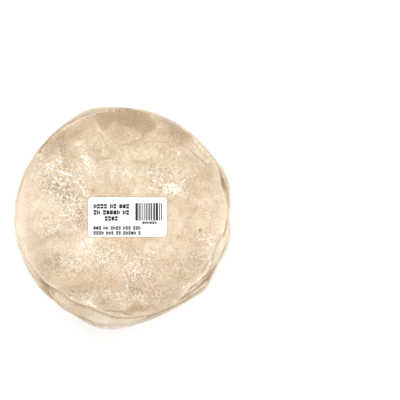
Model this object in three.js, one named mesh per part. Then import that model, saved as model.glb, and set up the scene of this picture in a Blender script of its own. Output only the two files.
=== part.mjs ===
// A pack of twenty thin round pita breads, stacked flat and pressed together, with a paper label on top.
// Millimetres, +Z up. The origin is at the middle of the pack's base. +Y is the far side of the pack
// as it is seen from above, and the label reads along +X.

import * as THREE from "three";

// Driving dimensions.
const PITA_COUNT = 20;
const PACK_RADIUS = 84.1; // of the circle that fits the outline of the whole pack
const PITCH = 2.8; // height that each pita takes up in the stack
const AIR = 0.3; // space left between a pita and the next
const RIM = 1.2; // how far in from its edge a pita starts to round over
const RIM_FLAT = 0.4; // the share of its height over which a pita's edge stands upright
const LABEL = { width: 60, depth: 30, thickness: 0.25, corner: 2.6, at: [4.1, -0.3] };

// How the stack departs from a plain pile of discs.
const TOP_DROOP = 3.4; // the upper rims hang down by this
const BASE_LIFT = 1.6; // the lower rims are drawn up by this
const RIM_WAVE = 0.9; // the rims rise and fall by this at the top of the stack
const WAVE_EASE = 0.35; // the share of that wave which is lost at the very top, where nothing presses on it
const DROOP_FROM = 46; // mm from the axis where the upper pitas start to hang down
const DROOP_TO = 94; // mm from the axis where they would hang straight out again
const LIFT_TO = 91; // mm from the axis where the lower rims would stop rising
const LABEL_EASE = 12; // the top is level under the label, and eases off over this distance

// Waves round the pack. Each runs so many times round, with a size, and from an angle in degrees.
const HEIGHT_WAVES = [
  { times: 3, size: 1, from: 52 },
  { times: 5, size: 0.6, from: -63 },
  { times: 8, size: 0.4, from: 132 },
];

// Waves in the outlines of the pitas. Each starts further on, by step in degrees, from one pita to the next.
const EDGE_WAVES = [
  { times: 3, size: 1, step: 97 },
  { times: 7, size: 0.7, step: 151 },
];

// Where the pack is pressed in or bulges out. Each place is an angle and a width in degrees, and a rise in mm.
const PACK_LOBES = [
  { at: 0, rise: -2.5, width: 6 },
  { at: 20, rise: 2.3, width: 9 },
  { at: 48, rise: -0.9, width: 13 },
  { at: 106, rise: 2.8, width: 14 },
  { at: 165, rise: -1.1, width: 26 },
  { at: 205, rise: -0.7, width: 12 },
  { at: 260, rise: 3.8, width: 14 },
  { at: 298, rise: -2.4, width: 14 },
  { at: 318, rise: 2.0, width: 4.5 },
  { at: 333, rise: -1.3, width: 6 },
];

// The two upper pitas have outlines of their own, and the others follow a rule. tuck is how far the edge stays
// inside the pack's circle where it comes nearest, and the pita leans that way, by lean, towards the angle.
const TOP_PITA = {
  tuck: 2,
  lean: 2.4,
  towards: 84,
  lobes: [
    { at: 17, rise: -1.3, width: 5 },
    { at: 30, rise: 1.4, width: 7 },
    { at: 66, rise: -3.5, width: 8 },
    { at: 89, rise: 1.2, width: 6 },
    { at: 192, rise: 2.3, width: 15 },
    { at: 231, rise: -2.9, width: 9 },
    { at: 250, rise: -3.9, width: 11 },
    { at: 314, rise: -2.9, width: 9 },
    { at: 341, rise: -3.8, width: 10 },
  ],
};
const SECOND_PITA = {
  tuck: 0,
  lean: 2.7,
  towards: 270,
  lobes: [
    { at: 221, rise: -3.4, width: 8 },
    { at: 283, rise: -1.6, width: 10 },
    { at: 303, rise: -5.2, width: 30 },
    { at: 332, rise: -1.6, width: 9 },
    { at: 350, rise: 0.8, width: 6 },
  ],
};

// The rule for the other pitas. Their tucks and leans swing between two values, by so many radians a layer.
// Each leans on from the last by the golden angle, which spreads the leans evenly round the pack.
const TUCK = { range: [0.5, 1], swing: 2.4 };
const LEAN = { range: [0.9, 2.4], swing: 1.3, turn: 137.508 };
const RIPPLE = 0.45; // how strongly their outlines wave
const SECOND_RIPPLE = 0.2;
const LOW_LOBES = 0.35; // the share of the lobes that shows at the base, where the weight levels the rims
const LOBES_FULL = 0.7; // the share of the stack's height above which they show in full

// Broad hollows and humps in the face of the top pita. Each has a centre and a reach in mm, and a rise in mm.
const SWELLS = [
  { at: [-44, 34], rise: 1.4, reach: 20 },
  { at: [12, 52], rise: -0.8, reach: 18 },
  { at: [50, 26], rise: 1.1, reach: 17 },
  { at: [-46, -34], rise: -0.8, reach: 18 },
  { at: [2, -44], rise: 1.2, reach: 16 },
  { at: [46, -36], rise: -0.7, reach: 15 },
  { at: [-18, 50], rise: 0.8, reach: 12 },
];

// Where a pita's faces bend, in mm from the pack's axis, and how many sides its outline has.
const PLAIN = { rings: [66], sides: 40 };
const UPPER = { rings: [58, 71], sides: 56 }; // for pitas near the top, which hang down more at the rim
const TOP = { rings: [12, 24, 36, 47, 57, 66, 73], sides: 96 };
const UPPER_COUNT = 5;

const CRUST = new THREE.MeshStandardMaterial({ color: 0xe6d2b2, roughness: 0.9, metalness: 0 });
const PAPER = new THREE.MeshStandardMaterial({ color: 0xfafaf7, roughness: 0.55, metalness: 0 });

const { clamp, degToRad, euclideanModulo, lerp, radToDeg, smoothstep } = THREE.MathUtils;

// The sum of the lobes at an angle in degrees.
function lobesAt(lobes, angle) {
  const near = (at) => euclideanModulo(angle - at + 180, 360) - 180;
  return lobes.reduce((sum, { at, rise, width }) => sum + rise * Math.exp(-((near(at) / width) ** 2)), 0);
}

// The sum of the waves at an angle in degrees.
function wavesAt(waves, angle, layer = 0) {
  const phase = ({ times, from = 0, step = 0 }) => degToRad(times * angle + from + step * layer);
  return waves.reduce((sum, wave) => sum + wave.size * Math.sin(phase(wave)), 0);
}

// How a pita lies in the pack. Layer 0 is the lowest.
function layOf(layer) {
  if (layer === PITA_COUNT - 1) return { ...TOP_PITA, ripple: 0, share: 1 };
  if (layer === PITA_COUNT - 2) return { ...SECOND_PITA, ripple: SECOND_RIPPLE, share: 1 };
  return {
    tuck: lerp(...TUCK.range, Math.sin(TUCK.swing * layer) ** 2),
    lean: lerp(...LEAN.range, Math.abs(Math.sin(LEAN.swing * layer))),
    towards: LEAN.turn * layer,
    lobes: PACK_LOBES,
    ripple: RIPPLE,
    share: lerp(LOW_LOBES, 1, smoothstep(layer, 0, PITA_COUNT * LOBES_FULL)),
  };
}

// How far a pita reaches from the pack's axis at an angle in degrees.
function edgeOf(layer, angle) {
  const { tuck, lean, towards, lobes, ripple, share } = layOf(layer);
  const away = lean * (1 - Math.cos(degToRad(angle - towards)));
  const bumps = share * lobesAt(lobes, angle) + ripple * wavesAt(EDGE_WAVES, angle, layer);
  return PACK_RADIUS - tuck - away + bumps;
}

// 1 under the label, falling to 0 outside it.
function underLabel(x, y) {
  const dx = Math.max(0, Math.abs(x - LABEL.at[0]) - LABEL.width / 2);
  const dy = Math.max(0, Math.abs(y - LABEL.at[1]) - LABEL.depth / 2);
  return 1 - smoothstep(Math.hypot(dx, dy), 1, LABEL_EASE);
}

// The height of a level of the stack at a place. Level 0 is the base, and each pita takes up 1.
function heightAt(x, y, level) {
  const share = clamp(level / PITA_COUNT, 0, 1);
  const out = Math.hypot(x, y);
  const droop = smoothstep(out, DROOP_FROM, DROOP_TO);
  const lift = smoothstep(out, PLAIN.rings[0], LIFT_TO);
  const wave = wavesAt(HEIGHT_WAVES, radToDeg(Math.atan2(y, x)));
  return (
    PITCH * level -
    TOP_DROOP * share ** 3 * droop +
    BASE_LIFT * (1 - share) ** 3 * lift +
    RIM_WAVE * share * (1 - share * WAVE_EASE) * droop * wave
  );
}

// How far the top pita's face stands above its level at a place.
function swellAt(x, y) {
  const rises = SWELLS.map(({ at, rise, reach }) => {
    const away = Math.hypot(x - at[0], y - at[1]);
    return rise * Math.exp(-((away / reach) ** 2));
  });
  return (1 - underLabel(x, y)) * rises.reduce((sum, rise) => sum + rise, 0);
}

// A closed disc turned from its profile, then bent to its outline and its place in the stack.
function pita(layer) {
  const isTop = layer === PITA_COUNT - 1;
  const isUpper = layer >= PITA_COUNT - 1 - UPPER_COUNT;
  const underside = isUpper ? UPPER : PLAIN;
  const topside = isTop ? TOP : underside;

  // In the profile, y is a share of the height, and x is mm from the axis. The rim stands further out than any
  // ring, at PACK_RADIUS where it starts to round over, and is moved to the pita's own edge below.
  const profile = [
    [0, 0],
    ...underside.rings.map((ring) => [ring, 0]),
    [PACK_RADIUS, 0],
    [PACK_RADIUS + RIM, (1 - RIM_FLAT) / 2],
    [PACK_RADIUS + RIM, (1 + RIM_FLAT) / 2],
    [PACK_RADIUS, 1],
    ...topside.rings.toReversed().map((ring) => [ring, 1]),
    [0, 1],
  ];
  const geometry = new THREE.LatheGeometry(
    profile.map(([x, y]) => new THREE.Vector2(x, y)),
    topside.sides,
  );
  geometry.rotateX(Math.PI / 2);

  const place = geometry.getAttribute("position");
  for (let i = 0; i < place.count; i += 1) {
    const turn = Math.atan2(place.getY(i), place.getX(i));
    const out = Math.hypot(place.getX(i), place.getY(i));
    const height = place.getZ(i);
    const onRim = out > Math.max(...topside.rings) + 1;
    const onTop = height > (1 + RIM_FLAT) / 2;
    const radius = onRim ? out - PACK_RADIUS - RIM + edgeOf(layer, radToDeg(turn)) : out;
    const x = radius * Math.cos(turn);
    const y = radius * Math.sin(turn);
    const level = layer + (1 - AIR / PITCH) * height;
    const swell = isTop && onTop ? swellAt(x, y) : 0;
    place.setXYZ(i, x, y, heightAt(x, y, level) + swell);
  }
  geometry.computeVertexNormals();

  const mesh = new THREE.Mesh(geometry, CRUST);
  mesh.name = `pita_${String(layer + 1).padStart(2, "0")}`;
  return mesh;
}

// A thin card with round corners, level on the top pita.
function label() {
  const { width, depth, thickness, corner, at } = LABEL;
  const [right, far] = [width / 2, depth / 2];
  const outline = new THREE.Shape();
  outline.moveTo(corner - right, -far);
  outline.absarc(right - corner, corner - far, corner, -Math.PI / 2, 0);
  outline.absarc(right - corner, far - corner, corner, 0, Math.PI / 2);
  outline.absarc(corner - right, far - corner, corner, Math.PI / 2, Math.PI);
  outline.absarc(corner - right, corner - far, corner, Math.PI, Math.PI * 1.5);
  const geometry = new THREE.ExtrudeGeometry(outline, {
    depth: thickness,
    bevelEnabled: false,
    curveSegments: 5,
  });
  const mesh = new THREE.Mesh(geometry, PAPER);
  mesh.name = "label";
  mesh.position.set(at[0], at[1], PITCH * PITA_COUNT);
  return mesh;
}

const pack = new THREE.Group();
for (let layer = 0; layer < PITA_COUNT; layer += 1) pack.add(pita(layer));
pack.add(label());

// The origin goes to the middle of the base.
const reach = new THREE.Box3().setFromObject(pack, true);
const middle = reach.getCenter(new THREE.Vector3());
pack.position.set(-middle.x, -middle.y, -reach.min.z);

export default pack;
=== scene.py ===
# Dresses a pack of pita breads: the crust, flour and rim of each bread, the clear film drawn tight
# round the stack, and the paper label on top. It is laid out as an add-on and run as a script.

import math
import random

import bmesh
import bpy
import numpy as np
from bpy.props import FloatProperty, FloatVectorProperty, PointerProperty
from mathutils import Matrix, Vector, noise


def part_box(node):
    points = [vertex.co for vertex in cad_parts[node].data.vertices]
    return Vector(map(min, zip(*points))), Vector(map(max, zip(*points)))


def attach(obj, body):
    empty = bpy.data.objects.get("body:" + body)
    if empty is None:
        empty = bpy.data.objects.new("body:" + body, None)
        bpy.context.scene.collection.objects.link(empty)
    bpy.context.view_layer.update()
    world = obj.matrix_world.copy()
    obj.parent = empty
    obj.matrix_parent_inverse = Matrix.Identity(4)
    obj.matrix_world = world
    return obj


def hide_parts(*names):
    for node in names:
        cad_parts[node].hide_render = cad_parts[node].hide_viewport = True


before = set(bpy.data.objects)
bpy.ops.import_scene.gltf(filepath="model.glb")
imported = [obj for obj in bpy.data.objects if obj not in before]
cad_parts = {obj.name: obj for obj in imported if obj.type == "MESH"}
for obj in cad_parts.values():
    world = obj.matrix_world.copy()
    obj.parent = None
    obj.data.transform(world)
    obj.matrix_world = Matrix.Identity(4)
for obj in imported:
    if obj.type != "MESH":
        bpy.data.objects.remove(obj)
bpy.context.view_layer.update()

bl_info = {
    "name": "Pita Pack",
    "version": (1, 0, 0),
    "blender": (4, 5, 0),
    "location": "View3D > Sidebar > Pita Pack",
    "description": "Dresses a stack of pita breads in crust, flour, clear film and a label",
    "category": "Object",
}

# Shapes are worked out in millimetres and degrees, and a finished mesh is in metres.
MM = 0.001

# The stack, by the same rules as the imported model.
PITA_COUNT = 20
TOP = PITA_COUNT - 1
PACK_RADIUS = 84.1
PITCH = 2.8  # height that each pita takes up in the stack
AIR = 0.3  # clear height between two pitas
TOP_FACE_LEVEL = PITA_COUNT - AIR / PITCH
TOP_DROOP = 3.4
BASE_LIFT = 1.6
RIM_WAVE = 0.9
WAVE_EASE = 0.35
DROOP_FROM, DROOP_TO = 46, 94
LIFT_FROM, LIFT_TO = 66, 91
LABEL_SIZE = (60, 30)
LABEL_AT = (4.1, -0.3)  # from the stack's axis
LABEL_CORNER = 2.6
LABEL_EASE = 12

# Waves round the stack: how many times round, size, and start in degrees.
HEIGHT_WAVES = [(3, 1, 52), (5, 0.6, -63), (8, 0.4, 132)]
# Waves in the outlines: how many times round, size, and step in degrees from one pita to the next.
EDGE_WAVES = [(3, 1, 97), (7, 0.7, 151)]

# Where outlines are pressed in or bulge out: angle, rise, width.
PACK_LOBES = [
    (0, -2.5, 6),
    (20, 2.3, 9),
    (48, -0.9, 13),
    (106, 2.8, 14),
    (165, -1.1, 26),
    (205, -0.7, 12),
    (260, 3.8, 14),
    (298, -2.4, 14),
    (318, 2.0, 4.5),
    (333, -1.3, 6),
]
TOP_LOBES = [
    (17, -1.3, 5),
    (30, 1.4, 7),
    (66, -3.5, 8),
    (89, 1.2, 6),
    (192, 2.3, 15),
    (231, -2.9, 9),
    (250, -3.9, 11),
    (314, -2.9, 9),
    (341, -3.8, 10),
]
SECOND_LOBES = [
    (221, -3.4, 8),
    (283, -1.6, 10),
    (303, -5.2, 30),
    (332, -1.6, 9),
    (350, 0.8, 6),
]
# How far a pita is drawn in all round, how far it leans to one side, and that side's angle.
TOP_PLACE = (2, 2.4, 84)
SECOND_PLACE = (0, 2.7, 270)
TUCK, TUCK_SWING = (0.5, 1), 2.4
LEAN, LEAN_SWING, LEAN_TURN = (0.9, 2.4), 1.3, 137.508
RIPPLE, SECOND_RIPPLE = 0.45, 0.2
LOW_LOBES, LOBES_FULL = 0.35, 0.7

# Broad hollows and humps in the top face: x, y, rise, reach.
SWELLS = [
    (-44, 34, 1.4, 20),
    (12, 52, -0.8, 18),
    (50, 26, 1.1, 17),
    (-46, -34, -0.8, 18),
    (2, -44, 1.2, 16),
    (46, -36, -0.7, 15),
    (-18, 50, 0.8, 12),
]

# Patches on the top face: x, y, reach along and across, turn in degrees, strength.
TOAST_AND_SHADE_PATCHES = [
    (3, 75, 27, 9, -2, 1.0), (4, 82, 22, 5, 0, 0.7), (18, 72, 9, 5, -20, 0.5),
    (0, 63, 16, 5, 4, 0.2), (41, 65, 11, 7, -35, 0.95), (47, 60, 7, 5, -45, 0.35),
    (53, 50, 11, 6, -50, 0.2), (-48, 54, 11, 9, 40, 0.8), (-40, 47, 9, 7, 0, 0.35),
    (-38, 65, 20, 7, 35, 0.45), (-60, 42, 6, 9, -25, 0.4), (-56, -36, 12, 9, 15, 0.7),
    # The first patch below is painted shade on the low side of the fold at the left.
    (-52, -15, 13, 4, 28, 0.3), (-60, -47, 7, 5, -50, 0.35), (-45, 18, 9, 8, 0, 0.95),
    (-51, 27, 8, 5, 20, 0.5), (-36, 38, 6, 7, 0, 0.15), (-58, 24, 7, 10, 0, 0.3),
    (-32, -1, 5, 8, 0, 0.25), (-72, -10, 5, 14, 0, 0.35), (-49, -12, 6, 3, 20, 0.3),
    (-70, 33, 5, 12, -20, 0.4), (-69, -30, 5, 13, 12, 0.3), (-52, 63, 8, 5, 45, 0.7),
    (-40, 1, 8, 6, 0, 0.15), (-16, -34, 8, 4, 0, 0.4), (14, -43, 12, 4, 0, 0.4),
    (-45, 30, 7, 4, 0, 0.3), (-30, 1, 4, 10, 0, 0.45), (12, -72, 16, 4, 4, 0.8),
    (11, -55, 9, 9, 0, 0.5), (-14, -66, 9, 6, 0, 0.55), (8, -60, 34, 12, 0, 0.25),
    (48, -40, 16, 16, 0, 0.2), (36, -66, 14, 6, 28, 0.2), (44, 46, 16, 12, -40, 0.12),
    (-14, 61, 18, 7, 0, 0.12), (-36, 18, 6, 12, 0, 0.4), (28, 33, 8, 4, 0, 0.3),
    (-34, -57, 14, 5, 20, 0.55), (-44, -55, 9, 5, -20, 0.3), (-12, -54, 10, 6, 0, 0.3),
    (32, -60, 10, 8, 30, 0.4), (57, -31, 6, 9, 0, 0.75), (-38, 4, 7, 5, 0, 0.35),
    (48, 47, 7, 5, 0, 0.3), (69, 33, 4, 7, 0, 0.3), (-36, -33, 5, 7, 0, 0.35),
    (42, -68, 7, 4, 30, 0.3), (-36, -61, 8, 4, 0, 0.3), (44, -46, 9, 7, 40, 0.45),
    (53, 26, 8, 7, 0, 0.45), (-10, 29, 9, 4, -60, 0.4), (14, 42, 9, 3, 0, 0.5),
    (28, 36, 10, 5, 30, 0.45), (67, 37, 9, 5, -60, 0.35), (-64, -20, 6, 12, 0, 0.25),
    (-16, 43, 5, 5, 0, 0.55), (22, -38, 10, 5, 40, 0.3),
]
FLOURED = [
    (38, 23, 6, 4, 25, 0.65), (-29, -22, 12, 5, 20, 0.5), (8, -37, 9, 5, 0, 0.3),
    (64, -19, 7, 4.5, 0, 0.65), (-28, 45, 6, 4, -40, 0.45), (-31, 55, 6, 4, -20, 0.55),
    (-45, 33, 6, 4, 0, 0.4), (-33, 28, 4, 6, 20, 0.5), (-60, 5, 13, 11, 0, 0.25),
    (5, 30, 5, 7, 0, 0.5), (-3, 37, 5, 5, 0, 0.5), (30, 47, 7, 3, -20, 0.35), (8, 51, 8, 3, 0, 0.3),
    (-20, 31, 7, 5, 0, 0.5), (17, 30, 6, 5, 0, 0.35), (24, -30, 7, 5, 0, 0.35),
    (60, 51, 11, 3, -50, 0.4), (24, -27, 8, 4, 35, 0.3), (58, -46, 8, 2.5, 45, 0.5),
    (-27, -65, 6, 4, 0, 0.45), (10, -65, 6, 2.5, 0, 0.4), (-14, 66, 6, 3, -50, 0.45),
    (28, 67, 9, 2.5, 10, 0.35), (34, 19, 4, 3, 0, 0.4), (38, -12, 3, 2, 0, 0.4),
]
# On the film these patches also place painted glints on its wrinkles.
SCUFF_AND_GLINT_PATCHES = [
    (-56, 38, 10, 9, 0, 0.6), (-46, 22, 14, 14, 0, 0.65), (-35, 8, 10, 9, 0, 0.65),
    (-55, -8, 10, 7, 0, 0.5), (-32, -8, 8, 8, 0, 0.4), (-14, -30, 24, 10, 0, 0.5),
    (12, -42, 14, 9, 0, 0.5), (28, 33, 13, 8, 20, 0.4), (40, 22, 9, 7, 0, 0.9),
    (-35, -62, 14, 5, 0, 0.4), (60, -30, 9, 6, 0, 0.45), (66, -19, 6, 4, 0, 0.75),
    (-48, 52, 7, 6, 0, 0.15), (4, -62, 30, 8, 0, 0.4), (-42, -36, 14, 10, 0, 0.4),
    (42, -45, 16, 10, 30, 0.25), (-10, 58, 40, 10, 0, 0.05), (50, 48, 16, 12, -40, 0.15),
    (-25, 38, 14, 12, 0, 0.35),
]

# Lines on the top face: points, rise (grooves are below zero), half width, and tone: above zero a white
# line, mostly flour, and below zero painted shade along the line.
CREASES = [
    ([(42, 18), (44, 23), (46.5, 27.5), (50.5, 30.5), (57, 31.5)], 0.4, 0.45, 0.9),
    ([(-36, 27), (-33, 25), (-29, 19), (-27, 15)], 0.35, 0.55, 1.0),
    ([(-48, 1), (-41, 1.5), (-36, 5), (-32, 11)], 0.35, 0.5, 0.9),
    ([(-46, 34), (-39, 31)], 0.3, 0.8, 0.9),
    ([(-31, 46), (-27, 44.3), (-23, 41.5)], 0.3, 1.4, 0.85),
    ([(-19, 70), (-14.5, 66.5), (-12.5, 61.5)], 0.3, 1.2, 0.5),
    ([(-11, 52), (-8.5, 48.5)], 0.2, 0.6, 0.6),
    ([(34, 60), (42, 61.5), (51, 62)], 0.3, 0.6, 0.6),
    ([(1, -43), (4, -52), (4, -61), (7, -67)], 0.2, 0.7, 0.65),
    ([(-29, -60), (-25, -66), (-20, -69)], 0.3, 0.8, 0.8),
    ([(19, 34), (31, 32)], 0.25, 0.5, 0.9),
    ([(21, 28), (26, 27)], 0.25, 0.5, 0.9),
    ([(20, 22), (26, 20)], 0.25, 0.6, 0.85),
    ([(21, 36), (28, 37), (35, 38)], 0.25, 0.5, 0.7),
    ([(35, 20), (41, 25)], 0.3, 0.8, 0.95),
    ([(32, 22), (38, 21)], 0.3, 0.7, 0.9),
    ([(29, 24), (34, 24.5)], 0.3, 0.6, 0.85),
    ([(42, 44), (43, 50)], 0.3, 0.6, 0.9),
    ([(-62, -18), (-52, -11), (-43, -9)], 0.5, 1.2, 0.5),
    ([(-50, 44), (-44, 38)], 0.3, 0.6, 0.8),
    ([(-63, 44), (-56, 40)], 0.3, 0.5, 0.8),
    ([(-58, 36), (-53, 33)], 0.3, 0.5, 0.8),
    ([(58, 55), (64, 47), (67, 41)], 0.3, 0.9, 0.7),
    # This white line is a painted highlight along the lip of the top bread's edge.
    ([(70, -39), (64, -44), (53, -50), (45, -56)], 0.5, 0.8, 0.75),
    ([(-11, -73), (-2, -74), (4, -76)], 0.4, 0.6, 0.7),
    ([(52, 51), (58, 45), (64, 39)], -0.5, 0.7, -0.6),
    ([(-3, 54.6), (4, 55.3), (10, 57.2), (13, 57.4), (16, 61), (16.3, 63.5), (19, 67)], -0.4, 0.5, -0.57),
    ([(6, 41.5), (18, 42.5)], -0.4, 0.8, -0.35),
    ([(-17, 46.5), (-14.5, 43.2), (-10, 44.8)], -0.3, 0.4, -0.7),
    ([(-15.5, 63), (-14.8, 59.5)], -0.3, 0.4, -0.62),
    ([(-13, 56.5), (-11, 54), (-10.5, 51), (-8.4, 48.6)], -0.3, 0.4, -0.62),
    ([(-3, 17), (-8, 24), (-12, 33)], -0.3, 0.9, -0.4),
    ([(-14, -72), (-4, -73), (8, -75.5)], -0.8, 0.7, -0.6),
    ([(15, -16), (30, -18), (37, -19)], -0.3, 0.7, -0.35),
    ([(75, -14), (69, -30), (61, -43)], -0.5, 0.7, -0.6),
    ([(-21, -26), (-12, -21)], -0.4, 0.8, -0.4),
    ([(-30, -17), (-27, -25)], -0.3, 0.7, -0.5),
    ([(59.1, -10.6), (59.7, -10.6)], -0.2, 0.9, -1.0),
    ([(-64, 48.5), (-60, 54), (-55.5, 60)], -0.3, 0.4, -0.8),
]

# Painted shade: dark lines between the rims just below the top bread: points, half width, and how dark they
# are.
RIM_SHADE_LINES = [
    ([(-67.5, -42), (-63.5, -46.5)], 0.5, 0.7),
    ([(-62, -49.5), (-57, -54), (-52.5, -58.5)], 0.8, 0.85),
    ([(-53, -59.5), (-48, -66), (-43.5, -72), (-37, -75)], 0.45, 0.6),
    ([(-52, -55.5), (-37.5, -66.3), (-30, -69.6), (-19.5, -73), (-8, -77)], 0.5, 0.55),
    ([(-61, -54), (-50, -65), (-38, -75), (-29, -80)], 2.2, 0.5),
    ([(-57, 61), (-47, 69), (-35, 76), (-22, 82)], 0.5, 0.65),
    ([(-49, 65), (-38, 72.5), (-27, 78)], 0.45, 0.6),
    ([(-40, -75), (-32, -77), (-24, -80), (-21, -84)], 0.7, 0.9),
    ([(-48, -66), (-40, -70), (-27, -77)], 0.6, 0.5),
    ([(49, -57), (53, -54), (57, -52)], 0.55, 1.0),
    ([(45, -63), (52, -58), (59, -53), (64.5, -48), (72, -37)], 0.55, 1.0),
    ([(19, -77), (31, -72.5), (41, -68), (47, -65), (57, -58.5), (63, -54)], 0.55, 1.0),
    ([(41, -69), (35, -72)], 0.7, 0.7),
    ([(66, -49), (69, -44), (72.5, -38)], 1.5, 0.95),
    ([(81, -19), (74, -33)], 0.5, 0.6),
    ([(77, 29), (79.5, 21)], 1.0, 0.85),
    ([(73, 38), (80, 20), (82, 0)], 0.6, 0.7),
]

# Folds, where the face steps down to one side of a line: points, height of the step, and reach
# on the high side.
FOLDS = [
    ([(-70, -24), (-60, -17), (-51, -11), (-42, -9)], 0.7, 10),
    ([(22, 52), (30, 44), (33, 38)], 0.5, 8),
    ([(30, -30), (40, -38), (44, -48)], 0.6, 9),
    ([(-20, 60), (-28, 52), (-36, 47)], 0.6, 8),
    ([(-36, -34), (-28, -42), (-14, -47)], 0.5, 8),
]

# Painted shade where the rims below the top pita lie in a gap at its edge: angle, width, strength.
GAP_SHADE = [
    (19, 6, 0.9),
    (137, 7, 0.8),
    (222, 8, 0.9),
    (325, 7, 0.6),
    (355, 12, 0.5),
]

# Where the top bread is paler: x, y, reach along and across, turn in degrees, strength.
PALE_SPOTS = [
    (-65, 6, 11, 11, 0, 0.45), (-16.5, 67, 5, 2, -55, 0.7), (-31, 55.5, 5, 3, 0, 0.6),
    (-26, 43.5, 4.5, 2, -35, 0.7), (-28, -21, 13, 7, 20, 0.6), (2, 34, 13, 9, 0, 0.45),
    (-20, 30, 8, 5, 0, 0.4), (30, -26, 10, 7, 30, 0.3), (56, 48, 12, 5, -50, 0.4),
    (14, 48, 14, 5, 0, 0.3), (14, 19, 8, 4, 0, 0.4), (24, -22, 12, 5, 30, 0.35),
    (44, 33, 6, 4, 0, 0.3), (-64, 10, 7, 9, 0, 0.1), (-53, 10, 6, 6, 0, 0.35),
    (-40, 10, 5, 5, 0, 0.4), (60, -6, 9, 5, -20, 0.35), (-27, 33, 5, 6, 0, 0.3),
    (-54, -22, 8, 5, 30, 0.35), (46, -27, 5, 5, 0, 0.35), (-42, -8, 7, 5, 0, 0.4),
    (40, -2, 7, 12, 0, 0.4), (64, 8, 8, 10, 0, 0.3),
]

# Where the crust is yellow rather than pink: x, y, reach along and across, turn in degrees, strength.
SALLOW = [
    (0, 42, 45, 22, 0, 0.8),
    (-57, -34, 16, 13, 0, 0.9),
    (-50, 52, 16, 11, 40, 0.8),
    (-42, 16, 14, 14, 0, 0.5),
    (66, 38, 14, 8, -60, 0.5),
    (-20, -25, 22, 10, 0, 0.4),
]

# Where the breads grow pale towards their rims: angle, width, strength.
PALE_SIDES = [(184, 36, 0.9), (350, 32, 0.7)]

# Where the lower breads' rims are brown: angle, width, strength.
BROWN_SIDES = [(223, 9, 0.5), (244, 7, 0.5), (128, 12, 0.5), (62, 12, 0.5)]

# Where they are yellow rather than pink: angle, width, strength.
SALLOW_SIDES = [(245, 45, 0.95), (20, 25, 0.7)]

# Where the film is drawn white over the rims: angle, width, strength.
FILM_HAZE = [(266, 15, 0.95), (313, 4, 0.4), (108, 14, 0.6), (56, 16, 0.35)]

# The template that every pita is bent from: a disc with a rim, finer where the photograph shows it.
TEMPLATE_FACE = 76.0  # the radius of its face
RIM_ZONE = 8.0  # how far in from its edge the rim is shaped
NOSE_ZONE, NOSE_DEPTH, NOSE_STEP = 2, 1.25, 22  # the rim's rounded end, with its step in degrees
UPPER_PITAS = 4  # how many pitas the photograph shows something of
TOP_SIDES, UPPER_SIDES, LOWER_SIDES = 560, 960, 240
TOP_RINGS, RINGS = 108, 12
UPPER_RIM_STEPS, LOWER_RIM_STEPS = 12, 7
WEDGES = 16  # a round mesh has a whole number of sides in each of these
MERGE_WITHIN = 1e-3

# A bread's rim: unevenness of the edge as (size, width of the bumps, seed), and how much it thins.
EDGE_NOISE = [(0.35, 9, 5.1), (0.15, 3.5, 2.3)]
THINNED_FROM, THINNED_TO = 1.2, 7.5  # from the edge inwards
THINNING, THINNING_NOISE = 0.26, 0.14
SWAY = 2.2
BREAD_BASE = 0.2  # no bread reaches lower, as the film lies under the pack

# The crust's relief and the warp of what is drawn on it: how far, width of the bumps, and seed.
BLISTERS = (0.8, 12, 2)
WRINKLES = [(0.3, 5, 6), (0.08, 2.4, 9)]
LOWER_WRINKLES = 0.12
FOLD_EASE = 2.6
PATCH_WARP = (5, 9, 3.7)
LINE_WARP = (1.2, 5, 31)
OTHER_SEED = 7.6  # added for the second of two noises
LINE_SPREAD = 1.7  # lines are this much wider on the mesh than they show, and the crust narrows them
RIM_SHADE_SPREAD = 1.25  # the same for the dark lines between the rims
RIM_PALENESS = 0.25
PALE_ZONE, BROWN_ZONE = (60, 86), (68, 78)  # from the axis
BROWNING, RIM_UNTOASTED = (0.9, 0.25), 0.4
LOWER_FLOUR, LOWER_SALLOW = 0.6, 0.4
BELOW_EDGE, BEYOND_EDGE = (-2, -0.5), (1.2, 3.4)  # where the gap at the top bread's edge starts and ends

# The film, with its distances from the breads.
FILM_SIDES, FILM_RINGS = 400, 44
FILM_STEPS = 40  # rows between the top face and the base
FILM_EASINGS = 3
FILM_GAP = 0.25
FILM_LIFT = 0.55  # over the broad relief of the top face, to clear its wrinkles
FILM_LIFT_AT_LABEL = 0.16
FILM_BASE = 0.03  # the height of the film under the pack
FILM_NOSE = 0.4  # it touches a rim this far from the rim's upper and lower face
FILM_CORNER, FILM_CORNER_RISE = 1.3, 0.55
SHOULDER_AT, SHOULDER_WIDTH = 0.1, 0.13  # share of the way down where pleats stand
WALL_FROM, WALL_TO = (0.1, 0.35), (0.85, 1)  # share of the way down where folds grow and end
ROW_SPACING = 0.35
PLEAT_SHARPNESS, FOLD_SHARPNESS = 2.4, 2.6
PROUD_FOLDS, WHITE_FOLDS = 0.5, 0.35

# The label's card and print, from the label's middle.
CARD_COLUMNS, CARD_ROWS = 30, 15
CORNER_STEPS = 8
LABEL_REST = 0.02
LABEL_UNEVEN = 0.09
INK_THICKNESS, INK_SUNK = 0.02, 0.005
# Rows of print: left, right, middle, height, and how many blocks each word has.
PRINT_ROWS = [
    (-26.1, 1.4, 8.2, 3.5, [4, 2, 3]),
    (-26.1, 1.4, 3.5, 3.5, [2, 5, 2]),
    (-17.5, -7.3, -1.1, 3.5, [4]),
    (-26.1, 10.1, -8.4, 2.7, [3, 2, 4, 3, 3]),
    (-26.1, 10.1, -12.2, 2.7, [4, 3, 2, 5, 1]),
    (11.2, 22.4, -4.3, 2.0, [6]),
]
WORD_GAP = 0.7  # as a share of a block
BARS_FROM, BARS_TO = 6.0, 26.4
BARS_AT, BARS_HEIGHT = 4.0, 13.4
BAR_WIDTHS = [0.75, 0.75, 0.95, 1.4, 1.9]
BAR_GAPS = [0.45, 0.5, 0.75]

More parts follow.
